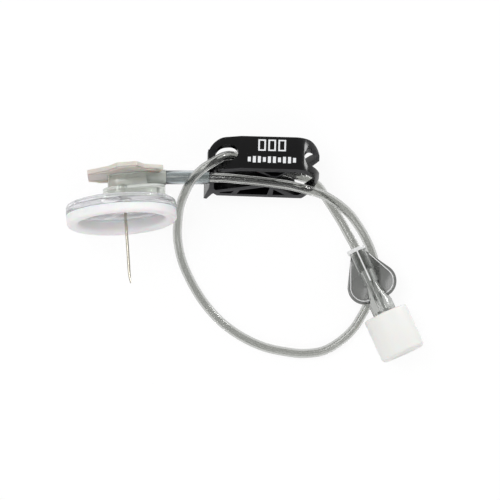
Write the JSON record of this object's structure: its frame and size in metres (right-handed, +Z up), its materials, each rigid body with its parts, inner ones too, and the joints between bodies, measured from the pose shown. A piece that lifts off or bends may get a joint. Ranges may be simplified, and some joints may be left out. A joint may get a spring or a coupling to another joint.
{
  "type": "huber needle infusion set",
  "caption": "Huber needle infusion set: winged right-angle port needle in a clear safety base with comfort pad, extension tube, black pinch clamp and capped luer connector, lying on its side.",
  "frame": {"origin": "on the table, under the middle of the needle set (everything but the tube and the pieces on it)", "axes": "X along the tubing port as it leaves the hub, Y across the table with the needle pointing to minus Y, Z up from the table"},
  "size_m": [0.0892, 0.0566, 0.0278],
  "materials": {
    "clear_plastic": "clear moulded polycarbonate",
    "spring_steel": "cold rolled spring steel leaf",
    "white_foam": "soft white moulded pad, slightly translucent",
    "needle_steel": "drawn stainless tube",
    "soft_grey": "soft translucent grey moulding",
    "clear_tubing": "extruded flexible clear tubing",
    "black_plastic": "gloss black moulding",
    "smoky_plastic": "clear moulding that reads grey on its own walls",
    "white_plastic": "satin white moulding"
  },
  "bodies": {
    "infusion_line": {"needle_hub": "clear_plastic", "needle": "needle_steel", "wing_grip": "soft_grey", "tubing_sleeve": "clear_tubing", "extension_tube": "clear_tubing", "pinch_clamp": "black_plastic", "luer_connector": "smoky_plastic"},
    "safety_base": {"base_plate": "clear_plastic", "safety_housing": "clear_plastic", "lock_clip": "spring_steel", "comfort_pad": "white_foam"},
    "cap": {"luer_cap": "white_plastic"}
  },
  "joints": [
    {"name": "safety_slide", "type": "slide", "parent": "infusion_line", "child": "safety_base", "axis": [0.0685, -0.9797, 0.1883], "range_m": [0, 0.02]},
    {"name": "cap_pull", "type": "slide", "parent": "infusion_line", "child": "cap", "axis": [0.4118, -0.9079, 0.0785], "range_m": [0, 0.009]}
  ]
}
